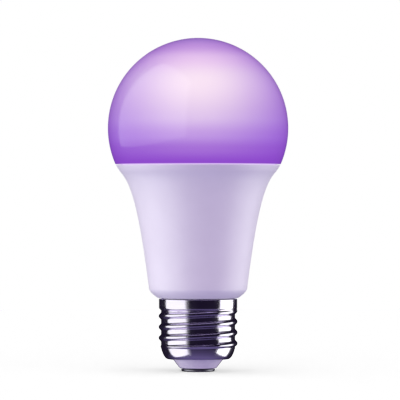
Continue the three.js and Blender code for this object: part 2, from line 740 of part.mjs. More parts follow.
// Drum choke: a winding between two flanges.
function chokeGeometry({ radius, height }) {
  const flange = 0.9;
  const windingRadius = radius - 0.5;
  return turned(
    [
      [0, 0],
      [radius, 0],
      [radius, flange],
      [windingRadius, flange],
      [windingRadius, height - flange],
      [radius, height - flange],
      [radius, height],
      [0, height],
    ],
    SMALL_SEGMENTS,
  );
}

// Chip in a moulded package, with flat leads along two sides.
function chipGeometry({ size, leadsPerSide, leadWidth }) {
  const [length, width] = size;
  const leadOut = 0.8;
  const leadThickness = 0.25;
  const pitch = length / leadsPerSide;
  const leads = Array.from({ length: leadsPerSide }, (_, i) =>
    block([leadWidth, width + 2 * leadOut, leadThickness], (i + 0.5) * pitch - length / 2),
  );
  return joined(block(size), ...leads);
}

// Width and length of the core's two windows, and how far their middles are from the middle leg's.
function coreWindow() {
  const { size, leg } = TRANSFORMER;
  const windowWidth = size[0] / 2 - leg;
  return [windowWidth, size[1] - leg, (leg + windowWidth) / 2];
}

function coreGeometry() {
  const [width, length, offset] = coreWindow();
  const depth = TRANSFORMER.size[2];
  const windows = [-offset, offset].map((x) => block([width, length, depth + 2], x, 0, -depth / 2 - 1));
  return cut(block(TRANSFORMER.size, 0, 0, -depth / 2), ...windows);
}

function windingBuild() {
  return coreWindow()[0] - 2 * FIT_GAP;
}

// Height of the middle leg's axis above the board, with the winding just clear of it.
function coreAxisHeight() {
  return TRANSFORMER.size[2] / 2 + windingBuild() + 2 * FIT_GAP;
}

function windingGeometry() {
  const build = windingBuild();
  const bore = [TRANSFORMER.leg + 2 * FIT_GAP, TRANSFORMER.size[2] + 2 * FIT_GAP];
  const length = coreWindow()[1] - 2 * FIT_GAP;
  const size = [bore[0] + 2 * build, bore[1] + 2 * build, length];
  const coil = roundedBlock({ size, corner: build / 2 });
  return cut(coil, block([...bore, length + 2], 0, 0, -1))
    .translate(0, 0, -length / 2)
    .rotateX(-Math.PI / 2);
}

// Insulated wire that follows the front of the board down to its foot, then bends on to its end.
function wireGeometry(x, bends, end) {
  const y = DRIVER_FRONT_Y - FIT_GAP - WIRE_RADIUS;
  const points = [
    [x, y, DRIVER_BOARD_BOTTOM_Z + WIRE_OVERLAP],
    [x, y, DRIVER_BOARD_BOTTOM_Z],
    ...bends,
    end,
  ];
  const section = new THREE.Shape();
  section.absarc(0, 0, WIRE_RADIUS, 0, 2 * Math.PI);
  return new THREE.ExtrudeGeometry(section, {
    steps: WIRE_STEPS,
    extrudePath: new THREE.CatmullRomCurve3(points.map((p) => new THREE.Vector3(...p))),
    bevelEnabled: false,
    curveSegments: 4,
  });
}

// ---- Assembly ----

const bulb = new THREE.Group();

piece(bulb, "diffuser", diffuserGeometry(), opal);
piece(bulb, "diffuser_adhesive", beadGeometry(), silicone);
piece(bulb, "housing", housingGeometry(), whitePlastic);

piece(bulb, "screw_shell", screwShellGeometry(), nickel);
piece(bulb, "cap_insulator", capInsulatorGeometry(), insulatorPlastic);
piece(bulb, "centre_contact", centreContactGeometry(), nickel);

piece(bulb, "heat_sink_cup", heatSinkCupGeometry(), aluminium);
piece(bulb, "insulating_liner", linerGeometry(), blackPlastic);
piece(bulb, "thermal_pad", thermalPadGeometry(), padGrey);
piece(bulb, "led_board", ledBoardGeometry(), boardWhite);
screwPlaces().forEach((x, i) => {
  piece(bulb, `led_board_screw_${i + 1}`, screwGeometry(), nickel, [x, 0, LED_BOARD_TOP_Z + FIT_GAP]);
});

const whiteNames = Array.from(
  { length: WHITE_LED_COUNT },
  (_, i) => `${i % 2 ? "cool" : "warm"}_led_${Math.floor(i / 2) + 1}`,
);
const rgbNames = Array.from({ length: RGB_LED_COUNT }, (_, i) => `rgb_led_${i + 1}`);
ledRing(bulb, whiteNames, WHITE_LED_RING_RADIUS, WHITE_LED_SIZE, Math.PI / WHITE_LED_COUNT);
ledRing(bulb, rgbNames, RGB_LED_RING_RADIUS, RGB_LED_SIZE, Math.PI / RGB_LED_COUNT);

const ledHeaderZ = LED_BOARD_TOP_Z + FIT_GAP;
const ledPinBottom = DRIVER_TOP_Z + FIT_GAP - ledHeaderZ;
const ledHeader = pinHeaderGeometry(LED_PIN_COUNT, HEADER_SIZE, ledPinBottom, HEADER_SIZE + 1);
piece(bulb, "led_header", ledHeader, blackPlastic, [0, DRIVER_BOARD_Y, ledHeaderZ]);

piece(bulb, "radio_board", radioBoardGeometry(), boardGreen);
const radioFace = boardFace(bulb, -RADIO_BOARD_THICKNESS / 2, 0);
const shieldY = RADIO_BOARD_Z + 2 * FIT_GAP + SHIELD_SIZE[1] / 2;
piece(radioFace, "radio_shield", shieldGeometry(SHIELD_SIZE), nickel, [0, shieldY, FIT_GAP]);

piece(bulb, "driver_board", driverBoardGeometry(), boardGreen);
const front = boardFace(bulb, DRIVER_FRONT_Y, 0);
const back = boardFace(bulb, DRIVER_BACK_Y, Math.PI);
const radioHeader = block([
  RADIO_PIN_COUNT * PIN_SPACING,
  HEADER_SIZE,
  DRIVER_FRONT_Y - RADIO_BOARD_THICKNESS / 2 - 2 * FIT_GAP,
]);
piece(front, "radio_header", radioHeader, blackPlastic, [0, RADIO_BOARD_Z + HEADER_SIZE, FIT_GAP]);

const neckRow = DRIVER_BOARD_BOTTOM_Z + NECK_ROW_RISE;
component(front, neckRow, "fuse_resistor", FUSE_RESISTOR, resistorGeometry, blueCoating);
component(front, neckRow, "varistor", VARISTOR, discGeometry, blueCoating);
component(back, neckRow, "bridge_rectifier", BRIDGE, chipGeometry, blackPlastic);

const middleRow = HOUSING_FLOOR_Z + MIDDLE_ROW_RISE;
component(front, middleRow, "input_capacitor", INPUT_CAPACITOR, canGeometry, blackSleeve);
component(front, middleRow, "film_capacitor", FILM_CAPACITOR, roundedBlock, yellowCase);
component(front, middleRow, "output_capacitor", OUTPUT_CAPACITOR, canGeometry, blackSleeve);
component(back, middleRow, "filter_choke", FILTER_CHOKE, chokeGeometry, copper);
component(back, middleRow, "safety_capacitor", SAFETY_CAPACITOR, discGeometry, greenCoating);
component(back, middleRow, "driver_chip", DRIVER_CHIP, chipGeometry, blackPlastic);
component(back, middleRow, "supply_chip", SUPPLY_CHIP, chipGeometry, blackPlastic);

const upperRow = middleRow + UPPER_ROW_RISE;
const transformerPlace = [TRANSFORMER.x, upperRow + TRANSFORMER.rise, coreAxisHeight()];
piece(front, "transformer_core", coreGeometry(), ferrite, transformerPlace);
piece(front, "transformer_winding", windingGeometry(), copper, transformerPlace);
component(back, upperRow, "output_diode", OUTPUT_DIODE, chipGeometry, blackPlastic);
component(back, upperRow, "supply_inductor", SUPPLY_INDUCTOR, roundedBlock, ferrite);
component(back, upperRow, "dimming_chip", DIMMING_CHIP, chipGeometry, blackPlastic);

const liveEnd = [0, 0, CONTACT_STEM_TOP_Z + FIT_GAP];
const neutralEnd = [THREAD_ROOT_RADIUS - SHELL_WALL - FIT_GAP, 0, NEUTRAL_END_Z];
piece(bulb, "live_wire", wireGeometry(LIVE_WIRE_X, LIVE_WIRE_BENDS, liveEnd), redWire);
piece(bulb, "neutral_wire", wireGeometry(NEUTRAL_WIRE_X, NEUTRAL_WIRE_BENDS, neutralEnd), whiteWire);

export default bulb;
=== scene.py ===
"""Smart light bulb: the visible pieces, finishes, floor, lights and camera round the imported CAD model.

Profiles are lists of (radius, height) in millimetres, turned about the Z axis. Blender works in metres.
"""

import json
import math

import bmesh
import bpy
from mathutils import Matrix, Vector


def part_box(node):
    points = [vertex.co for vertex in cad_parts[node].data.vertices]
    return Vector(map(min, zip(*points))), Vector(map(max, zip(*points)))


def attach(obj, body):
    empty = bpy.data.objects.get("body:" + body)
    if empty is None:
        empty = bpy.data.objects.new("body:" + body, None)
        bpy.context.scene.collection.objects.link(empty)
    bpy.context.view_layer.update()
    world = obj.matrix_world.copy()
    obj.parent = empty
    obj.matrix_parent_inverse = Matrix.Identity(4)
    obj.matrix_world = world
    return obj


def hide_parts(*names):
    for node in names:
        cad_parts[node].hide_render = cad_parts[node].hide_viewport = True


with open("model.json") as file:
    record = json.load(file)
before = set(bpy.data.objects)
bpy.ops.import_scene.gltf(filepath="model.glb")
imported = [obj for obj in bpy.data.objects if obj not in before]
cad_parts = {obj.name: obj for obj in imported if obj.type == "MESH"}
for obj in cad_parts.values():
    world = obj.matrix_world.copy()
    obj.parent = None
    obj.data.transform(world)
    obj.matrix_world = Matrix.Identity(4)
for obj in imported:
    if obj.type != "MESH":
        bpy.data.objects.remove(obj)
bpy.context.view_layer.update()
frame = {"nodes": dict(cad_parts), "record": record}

MM = 0.001


def top_of(node):
    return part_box(node)[1].z / MM


def bottom_of(node):
    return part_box(node)[0].z / MM


def radius_of(node):
    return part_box(node)[1].x / MM


# ---- Sizes ----

FIT_GAP = 0.3

DOME_RADIUS = 30
DOME_CENTRE_Z = top_of("diffuser") - DOME_RADIUS
DIFFUSER_WALL = 1.5
DIFFUSER_EDGE = 0.12
SKIRT_WALL = 1.3
SKIRT_BOTTOM_Z = bottom_of("diffuser")

RIM_TOP_Z = top_of("housing")
SEAM_Z = RIM_TOP_Z + FIT_GAP
RIM_RADIUS = math.sqrt(DOME_RADIUS**2 - (RIM_TOP_Z - DOME_CENTRE_Z) ** 2)
RIM_HEIGHT = 2
RIM_TAPER = 1.3
RIM_CREASE = 0.7
HOUSING_WALL = 1.4
HOUSING_EDGE = 0.25
WAIST_RADIUS = 16.3
WAIST_RISE = 3
FLARE_TOP_HANDLE = (-3.07, -3.4)
FLARE_WAIST_HANDLE = (3.84, 30.8)
SHOULDER_CORNER = (-0.5, 1.6)
NECK_BOTTOM_Z = bottom_of("housing")
RIB_THICKNESS = 1.2
RIB_REACH = 1
BOARD_SIDE_CLEARANCE = 0.8

COLLAR_TOP_Z = top_of("screw_shell")
COLLAR_HEIGHT = 2.9
CREST_RADIUS = radius_of("screw_shell")
THREAD_DEPTH = 0.8
THREAD_PITCH = 25.4 / 7
THREAD_CREST_Z = 20.1
THREAD_BOTTOM_Z = 7.6
THREAD_FADE = 1.2
THREAD_CREST_FLAT = 0.08
THREAD_VALLEY_FLAT = 0.28
SHELL_WALL = 0.4
SHELL_EDGE = 0.18
SHELL_BASE_Z = bottom_of("screw_shell")
SHELL_BASE_RADIUS = 9.9
SHELL_TURN_HANDLES = ((-0.3, -1), (1.3, 0))
ROOT_RADIUS = CREST_RADIUS - THREAD_DEPTH
BASE_Z = COLLAR_TOP_Z + FIT_GAP
BASE_RADIUS = CREST_RADIUS + FIT_GAP
NECK_RADIUS = ROOT_RADIUS - SHELL_WALL - FIT_GAP
NECK_BORE_RADIUS = NECK_RADIUS - HOUSING_WALL

INSULATOR_TOP_RADIUS = 8.4
INSULATOR_TIP_RADIUS = 6
INSULATOR_TOP_EDGE = 0.25
INSULATOR_TIP_EDGE = 0.45
INSULATOR_BORE_EDGE = 0.2
CONTACT_RADIUS = radius_of("centre_contact")
CONTACT_HEIGHT = 0.7
CONTACT_TIP_EDGE = 0.5
CONTACT_TOP_EDGE = 0.1
STEM_RADIUS = 1.6
STEM_EDGE = 0.2

# Fineness of the turned pieces.
ROUND_SEGMENTS = 144
THREAD_SEGMENTS = 192
THREAD_ROW = 0.15
THREAD_INSIDE_ROW = 0.45
DOME_STEPS = 72
FLARE_STEPS = 56
SHOULDER_STEPS = 14
SHELL_TURN_STEPS = 16
EDGE_STEPS = 5
TOLERANCE = 1e-6
SHARP_ANGLE = math.radians(40)

# ---- Profiles ----


def bezier(points, steps):
    """Points along a Bezier curve, both ends included."""
    order = len(points) - 1
    curve = []
    for step in range(steps + 1):
        t = step / steps
        weights = [math.comb(order, i) * t**i * (1 - t) ** (order - i) for i in range(order + 1)]
        curve.append(tuple(sum(w * p[axis] for w, p in zip(weights, points)) for axis in (0, 1)))
    return curve


def offset(point, by):
    """A point moved by (radius, height)."""
    return (point[0] + by[0], point[1] + by[1])


def rounded(corners):
    """A profile whose corners given as (radius, height, reach) are rounded over that reach."""
    profile = []
    for i, corner in enumerate(corners):
        here = Vector(corner[:2])
        if len(corner) == 2:
            profile.append(tuple(here))
            continue
        before = Vector(corners[i - 1][:2]) - here
        after = Vector(corners[(i + 1) % len(corners)][:2]) - here
        start = here + before.normalized() * corner[2]
        end = here + after.normalized() * corner[2]
        profile += bezier([start, here, end], EDGE_STEPS)
    return profile


def inset(profile, distance):
    """A downward profile moved towards the axis by a distance, mitred at each corner."""
    normals = []
    for (r0, z0), (r1, z1) in zip(profile, profile[1:]):
        along = Vector((r1 - r0, z1 - z0)).normalized()
        normals.append(Vector((along.y, -along.x)))
    moved = []
    for i, point in enumerate(profile):
        before = normals[max(i - 1, 0)]
        after = normals[min(i, len(normals) - 1)]
        mitre = (before + after).normalized()
        moved.append(tuple(Vector(point) + mitre * (distance / mitre.dot(before))))
    return moved


def radius_at(profile, height):
    """Radius of a downward profile at a height."""
    for (r0, z0), (r1, z1) in zip(profile, profile[1:]):
        if z1 <= height:
            break
    return r0 + (r1 - r0) * (height - z0) / (z1 - z0)


def between(profile, top, bottom):
    """The stretch of a downward profile between two heights."""
    inner = [(r, z) for r, z in profile if bottom < z < top]
    return [(radius_at(profile, top), top), *inner, (radius_at(profile, bottom), bottom)]


def dome_arc(radius, from_z):
    """Arc of a sphere about the dome's centre, from a height up to the crown."""
    start = math.asin((from_z - DOME_CENTRE_Z) / radius)
    angles = [start + (math.pi / 2 - start) * i / DOME_STEPS for i in range(DOME_STEPS)]
    arc = [(radius * math.cos(a), DOME_CENTRE_Z + radius * math.sin(a)) for a in angles]
    return [*arc, (0, DOME_CENTRE_Z + radius)]


def housing_outside():
    """The housing's outline, from the seam down past the flare and the shoulder to the screw shell."""
    crease = (RIM_RADIUS - RIM_TAPER, RIM_TOP_Z - RIM_HEIGHT)
    waist = (WAIST_RADIUS, BASE_Z + WAIST_RISE)
    handles = [offset(crease, FLARE_TOP_HANDLE), offset(waist, FLARE_WAIST_HANDLE)]
    flare = bezier([crease, *handles, waist], FLARE_STEPS)
    corner = offset((WAIST_RADIUS, BASE_Z), SHOULDER_CORNER)
    shoulder = bezier([waist, corner, (BASE_RADIUS, BASE_Z)], SHOULDER_STEPS)
    return rounded([(RIM_RADIUS, RIM_TOP_Z), (*crease, RIM_CREASE), *flare[1:], *shoulder[1:]])


HOUSING_OUTSIDE = housing_outside()
HOUSING_INSIDE = inset(HOUSING_OUTSIDE, HOUSING_WALL)
SKIRT_OUTSIDE = inset(HOUSING_OUTSIDE, HOUSING_WALL + FIT_GAP)
SKIRT_INSIDE = inset(SKIRT_OUTSIDE, SKIRT_WALL)

# ---- Meshes ----


def turned(profile, segments=ROUND_SEGMENTS, thread=None):
    """A profile turned about the axis: a closed one, or one that starts and ends on the axis.

    thread(angle, height) is added to each radius.
    """
    bm = bmesh.new()
    rings = []
    for r, z in profile:
        if r < TOLERANCE:
            rings.append([bm.verts.new((0, 0, z * MM))] * segments)
            continue
        ring = []
        for i in range(segments):
            angle = 2 * math.pi * i / segments
            radius = (r + (thread(angle, z) if thread else 0)) * MM
            ring.append(bm.verts.new((radius * math.cos(angle), radius * math.sin(angle), z * MM)))
        rings.append(ring)
    if profile[0][0] >= TOLERANCE:
        rings.append(rings[0])
    for lower, upper in zip(rings, rings[1:]):
        for i in range(segments):
            j = (i + 1) % segments
            corners = list(dict.fromkeys((lower[i], lower[j], upper[j], upper[i])))
            if len(corners) > 2:
                bm.faces.new(corners)
    return bm


def prism(bm, outline, bottom, top):
    """An outline of (x, y) raised from one height to another."""
    rings = [[bm.verts.new((x * MM, y * MM, z * MM)) for x, y in outline] for z in (bottom, top)]
    for ring in rings:
        bm.faces.new(ring)
    for i in range(len(outline)):
        j = (i + 1) % len(outline)
        bm.faces.new((rings[0][i], rings[0][j], rings[1][j], rings[1][i]))


def finished(name, bm):
    """The mesh as an object in the scene, smooth apart from its sharp edges."""
    mesh = bpy.data.meshes.new(name)
    bmesh.ops.recalc_face_normals(bm, faces=bm.faces)
    bm.to_mesh(mesh)
    bm.free()
    mesh.shade_smooth()
    mesh.set_sharp_from_angle(angle=SHARP_ANGLE)
    piece = bpy.data.objects.new(name, mesh)
    bpy.context.scene.collection.objects.link(piece)
    return piece


def stand_in(piece, node, material):
    """The piece stands for a CAD node, with the finish of a slot."""
    piece.data.materials.append(material)
    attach(piece, "root")
    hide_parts(node)


def diffuser():
    """The hollow dome, with a skirt that reaches into the housing."""
    inner = dome_arc(DOME_RADIUS - DIFFUSER_WALL, SEAM_Z + DIFFUSER_WALL)
    outer = dome_arc(DOME_RADIUS, SEAM_Z)
    profile = rounded(
        [
            *reversed(inner),
            (radius_at(SKIRT_INSIDE, SEAM_Z), SEAM_Z),
            (radius_at(SKIRT_INSIDE, SKIRT_BOTTOM_Z), SKIRT_BOTTOM_Z, DIFFUSER_EDGE),
            (radius_at(SKIRT_OUTSIDE, SKIRT_BOTTOM_Z), SKIRT_BOTTOM_Z, DIFFUSER_EDGE),
            (radius_at(SKIRT_OUTSIDE, SEAM_Z), SEAM_Z),
            (*outer[0], DIFFUSER_EDGE),
            *outer[1:],
        ]
    )
    return finished("diffuser_dome", turned(profile))


def ribs(bm):
    """Ribs in the neck, on each side of the driver board's foot."""
    front, back = (corner.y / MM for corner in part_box("driver_board"))
    foot = math.sqrt((NECK_BORE_RADIUS - BOARD_SIDE_CLEARANCE) ** 2 - back**2)
    root = NECK_BORE_RADIUS + HOUSING_WALL / 2
    for side in (-1, 1):
        for near in (front - FIT_GAP - RIB_THICKNESS, back + FIT_GAP):
            sides = (near, near + RIB_THICKNESS)
            outer = [(side * math.sqrt(root**2 - y**2), y) for y in sides]
            inner = [(side * (foot - RIB_REACH), y) for y in reversed(sides)]
            prism(bm, outer + inner, bottom_of("driver_board"), BASE_Z)


def housing():
    """The moulded wall with its neck, and the ribs in the neck that hold the driver board."""
    floor_z = BASE_Z + HOUSING_WALL
    wall = between(HOUSING_INSIDE, RIM_TOP_Z, floor_z)
    outside = HOUSING_OUTSIDE[::-1]
    profile = rounded(
        [
            (*wall[0], HOUSING_EDGE),
            *wall[1:],
            (NECK_BORE_RADIUS, floor_z, HOUSING_EDGE),
            (NECK_BORE_RADIUS, NECK_BOTTOM_Z, HOUSING_EDGE),
            (NECK_RADIUS, NECK_BOTTOM_Z, HOUSING_EDGE),
            (NECK_RADIUS, BASE_Z, HOUSING_EDGE),
            (*outside[0], HOUSING_EDGE),
            *outside[1:-1],
            (*outside[-1], HOUSING_EDGE),
        ]
    )
    bm = turned(profile)
    ribs(bm)
    return finished("housing_shell", bm)


def thread_offset(angle, z):
    """How far inside the crest radius the rolled sheet lies at an angle and a height."""
    collar_z = COLLAR_TOP_Z - COLLAR_HEIGHT
    if not THREAD_BOTTOM_Z - TOLERANCE <= z <= collar_z:
        return 0
    turns = (z - THREAD_CREST_Z) / THREAD_PITCH - angle / (2 * math.pi)
    from_crest = abs(turns - round(turns)) * 2
    flank = (from_crest - THREAD_CREST_FLAT) / (1 - THREAD_CREST_FLAT - THREAD_VALLEY_FLAT)
    bump = 1 - smoothstep(flank)
    bump += (1 - bump) * smoothstep((z - collar_z) / THREAD_FADE + 1)
    bump *= smoothstep((z - THREAD_BOTTOM_Z) / THREAD_FADE)
    return THREAD_DEPTH * (bump - 1)


def smoothstep(t):
    t = min(max(t, 0), 1)
    return t * t * (3 - 2 * t)


def shell_turn():
    """Where the sheet turns in from the thread to the lip round the insulator."""
    ends = [(ROOT_RADIUS, THREAD_BOTTOM_Z), (SHELL_BASE_RADIUS, SHELL_BASE_Z)]
    handles = [offset(end, handle) for end, handle in zip(ends, SHELL_TURN_HANDLES)]
    return bezier([ends[0], *handles, ends[1]], SHELL_TURN_STEPS)[1:]


def levels(top, bottom, spacing):
    """Evenly spaced heights from top down to bottom, both included."""
    rows = math.ceil((top - bottom) / spacing)
    return [top - (top - bottom) * i / rows for i in range(rows + 1)]


def screw_shell():
    """Rolled sheet: a plain collar, the thread, and a lip turned in round the insulator."""
    collar_z = COLLAR_TOP_Z - COLLAR_HEIGHT
    lip_radius = INSULATOR_TOP_RADIUS + FIT_GAP
    turn = shell_turn()
    turn_inside = inset([(ROOT_RADIUS, THREAD_BOTTOM_Z), *turn], SHELL_WALL)[1:]
    outside = [(CREST_RADIUS, z) for z in levels(collar_z, THREAD_BOTTOM_Z, THREAD_ROW)]
    inside = [(CREST_RADIUS - SHELL_WALL, z) for z in levels(collar_z, THREAD_BOTTOM_Z, THREAD_INSIDE_ROW)]
    profile = rounded(
        [
            *reversed(turn_inside),
            *reversed(inside),
            (CREST_RADIUS - SHELL_WALL, COLLAR_TOP_Z, SHELL_EDGE),
            (CREST_RADIUS, COLLAR_TOP_Z, SHELL_EDGE),
            *outside,
            *turn,
            (lip_radius, SHELL_BASE_Z, SHELL_EDGE),
            (lip_radius, SHELL_BASE_Z + SHELL_WALL, SHELL_EDGE),
        ]
    )
    return finished("screw_shell_thread", turned(profile, THREAD_SEGMENTS, thread_offset))


def cap_insulator():
    """The cone below the screw shell, with a flange that seats inside the shell's turned-in foot."""
    tip_z = bottom_of("cap_insulator")
    top_z = top_of("cap_insulator")
    bore = STEM_RADIUS + FIT_GAP
    seat_z = SHELL_BASE_Z + SHELL_WALL + FIT_GAP
    wall = inset([(ROOT_RADIUS, THREAD_BOTTOM_Z), *shell_turn()], SHELL_WALL + FIT_GAP)
    seat = [(r, z) for r, z in wall if seat_z < z < top_z]
    profile = rounded(
        [
            (bore, top_z),
            (bore, tip_z, INSULATOR_BORE_EDGE),
            (INSULATOR_TIP_RADIUS, tip_z, INSULATOR_TIP_EDGE),
            (INSULATOR_TOP_RADIUS, SHELL_BASE_Z, INSULATOR_TOP_EDGE),
            (INSULATOR_TOP_RADIUS, seat_z),
            *reversed(seat),
            (radius_at(wall, top_z), top_z),
        ]
    )
    return finished("cap_insulator_cone", turned(profile))


def centre_contact():
    """A button with a stem that reaches up through the insulator."""
    top_z = top_of("centre_contact")
    profile = rounded(
        [
            (0, 0),
            (CONTACT_RADIUS, 0, CONTACT_TIP_EDGE),
            (CONTACT_RADIUS, CONTACT_HEIGHT, CONTACT_TOP_EDGE),
            (STEM_RADIUS, CONTACT_HEIGHT),
            (STEM_RADIUS, top_z, STEM_EDGE),
            (0, top_z),
        ]
    )
    return finished("centre_contact_button", turned(profile))


# ---- Finishes ----

# Heights that the diffuser's ramps span, its glow and its painted highlight, and half the width of their step
# at the seam.
GLOW_AND_PAINTED_HIGHLIGHT_SPAN = (SEAM_Z - 3, 111)
SEAM_BLEND = 0.05


def linear(red, green, blue):
    """A colour on the screen's 0 to 255 scale, as linear light."""

    def channel(value):
        value /= 255
        return value / 12.92 if value <= 0.04045 else ((value + 0.055) / 1.055) ** 2.4

    return (channel(red), channel(green), channel(blue), 1)


class Finish:
    """A Principled material whose nodes are added by the methods below."""

    def __init__(self, name, **sockets):
        self.material = bpy.data.materials.new(name)
        self.material.use_nodes = True
        self.tree = self.material.node_tree
        self.shader = self.tree.nodes["Principled BSDF"]
        self.place = self.node("ShaderNodeTexCoord").outputs["Object"]
        for socket, value in sockets.items():
            self.shader.inputs[socket.replace("_", " ")].default_value = value

    def node(self, kind, **settings):
        node = self.tree.nodes.new(kind)
        for key, value in settings.items():
            setattr(node, key, value)
        return node

    def link(self, source, target):
        self.tree.links.new(source, target)

    def stretched(self, x, y, z):
        """Object coordinates scaled along each axis."""
        scale = self.node("ShaderNodeVectorMath", operation="MULTIPLY")
        scale.inputs[1].default_value = (x, y, z)
        self.link(self.place, scale.inputs[0])
        return scale.outputs[0]

    def noise(self, feature, detail=3, place=None):
        """Noise whose features are about this many millimetres wide."""
        noise = self.node("ShaderNodeTexNoise")
        noise.inputs["Scale"].default_value = 1 / (feature * MM)
        noise.inputs["Detail"].default_value = detail
        self.link(place or self.place, noise.inputs["Vector"])
        return noise.outputs["Fac"]

    def spread(self, value, low, high, start=0.3, end=0.7):
        """A value from start to end, spread from low to high."""
        spread = self.node("ShaderNodeMapRange")
        spread.inputs["From Min"].default_value = start
        spread.inputs["From Max"].default_value = end
        spread.inputs["To Min"].default_value = low
        spread.inputs["To Max"].default_value = high
        self.link(value, spread.inputs["Value"])
        return spread.outputs["Result"]

    def height(self):
        """Height in millimetres."""
        split = self.node("ShaderNodeSeparateXYZ")
        self.link(self.place, split.inputs[0])
        scale = self.node("ShaderNodeMath", operation="DIVIDE")
        scale.inputs[1].default_value = MM
        self.link(split.outputs["Z"], scale.inputs[0])
        return scale.outputs[0]

    def ramp(self, value, stops, low, high):
        """Colours at values from low to high."""
        ramp = self.node("ShaderNodeValToRGB")
        ramp.color_ramp.interpolation = "EASE"
        elements = ramp.color_ramp.elements
        while len(elements) < len(stops):
            elements.new(0.5)
        for element, (at, colour) in zip(elements, stops):
            element.position = (at - low) / (high - low)
            element.color = colour
        self.link(self.spread(value, 0, 1, low, high), ramp.inputs["Fac"])
        return ramp.outputs["Color"]

    def mix(self, factor, first, second, blend="MIX"):
        """Two colours mixed by a factor; each is a colour or a socket."""
        mix = self.node("ShaderNodeMix", data_type="RGBA", blend_type=blend)
        sockets = (mix.inputs["Factor"], mix.inputs[6], mix.inputs[7])
        for socket, value in zip(sockets, (factor, first, second)):
            if isinstance(value, bpy.types.NodeSocket):
                self.link(value, socket)
            else:
                socket.default_value = value
        return mix.outputs[2]

    def colour(self, value):
        self.link(value, self.shader.inputs["Base Color"])

    def roughness(self, value, low, high):
        self.link(self.spread(value, low, high), self.shader.inputs["Roughness"])

    def bump(self, value, depth, strength=1):
        """Relief of this many millimetres."""
        bump = self.node("ShaderNodeBump")
        bump.inputs["Distance"].default_value = depth * MM
        bump.inputs["Strength"].default_value = strength
        self.link(value, bump.inputs["Height"])
        if self.shader.inputs["Normal"].links:
            self.link(self.shader.inputs["Normal"].links[0].from_socket, bump.inputs["Normal"])
        self.link(bump.outputs["Normal"], self.shader.inputs["Normal"])


def opal():
    """Milky diffuser lit violet from inside; its base colour is painted highlight, palest in a band round the
    upper dome and darker towards the seam and the crown.
    """
    finish = Finish("opal_lit", Coat_Weight=0.5, Coat_Roughness=0.07, Coat_IOR=1.5, Emission_Strength=1.0)
    finish.shader.inputs["Specular IOR Level"].default_value = 0.2
    glow = [
        (SEAM_Z - SEAM_BLEND, linear(232, 208, 248)),
        (SEAM_Z + SEAM_BLEND, linear(140, 72, 204)),
        (75, linear(138, 72, 203)),
        (90, linear(140, 78, 196)),
        (GLOW_AND_PAINTED_HIGHLIGHT_SPAN[1], linear(136, 78, 192)),
    ]
    # Base colours by height are painted highlight: pale in a band round the upper dome, darker towards the
    # seam and towards the crown.
    body = [
        (SEAM_Z, (0.02, 0.006, 0.03, 1)),
        (73.5, (0.105, 0.073, 0.113, 1)),
        (78, (0.18, 0.15, 0.195, 1)),
        (84, (0.24, 0.22, 0.242, 1)),
        (97, (0.293, 0.27, 0.28, 1)),
        (103.5, (0.281, 0.227, 0.28, 1)),
        (107.5, (0.21, 0.15, 0.23, 1)),
        (GLOW_AND_PAINTED_HIGHLIGHT_SPAN[1], (0.16, 0.14, 0.22, 1)),
    ]
    height = finish.height()
    finish.link(finish.ramp(height, glow, *GLOW_AND_PAINTED_HIGHLIGHT_SPAN), finish.shader.inputs["Emission Color"])
    finish.colour(finish.ramp(height, body, *GLOW_AND_PAINTED_HIGHLIGHT_SPAN))
    finish.roughness(finish.noise(2.5), 0.34, 0.42)
    finish.bump(finish.noise(0.5, 4), 0.006)
    return finish.material


def satin_plastic():
    """White moulding with a fine satin grain."""
    finish = Finish("satin_white_plastic")
    mottle = finish.noise(9, 4)
    finish.colour(finish.mix(finish.spread(mottle, 0, 1), (0.84, 0.81, 0.90, 1), (0.87, 0.84, 0.93, 1)))
    finish.roughness(finish.noise(1.2, 5), 0.36, 0.48)
    finish.bump(finish.noise(0.22, 4), 0.008)
    return finish.material


def nickel():
    """Bright plate with faint marks from rolling round the shell."""
    finish = Finish("bright_nickel", Metallic=1.0)
    rolled = finish.noise(1.5, 4, finish.stretched(0.12, 0.12, 6))
    finish.colour(finish.mix(finish.spread(rolled, 0, 1), (0.69, 0.62, 0.82, 1), (0.75, 0.68, 0.88, 1)))
    finish.roughness(finish.noise(2.2, 5), 0.11, 0.19)
    finish.bump(rolled, 0.004)
    return finish.material


def cap_plastic():
    """Smooth, slightly mottled insulator."""
    finish = Finish("insulator_plastic")
    mottle = finish.noise(2)
    finish.colour(finish.mix(finish.spread(mottle, 0, 1), (0.70, 0.65, 0.76, 1), (0.76, 0.71, 0.82, 1)))
    finish.roughness(finish.noise(0.8, 4), 0.28, 0.4)
    finish.bump(finish.noise(0.3, 3), 0.008)
    return finish.material


def contact_in_painted_shade():
    """Dull tinned metal marked by use, its colours darkened as painted shade where the button sits in the
    bulb's shadow.
    """
    finish = Finish("tinned_contact", Metallic=1.0)
    wear = finish.noise(1.4, 6)
    # Both colours are painted shade: the button is darkened for the shadow it sits in, and noise mottles
    # them.
    finish.colour(finish.mix(finish.spread(wear, 0, 1), (0.15, 0.14, 0.19, 1), (0.28, 0.26, 0.33, 1)))
    finish.roughness(wear, 0.25, 0.5)
    finish.bump(finish.noise(0.4, 5), 0.02)
    return finish.material


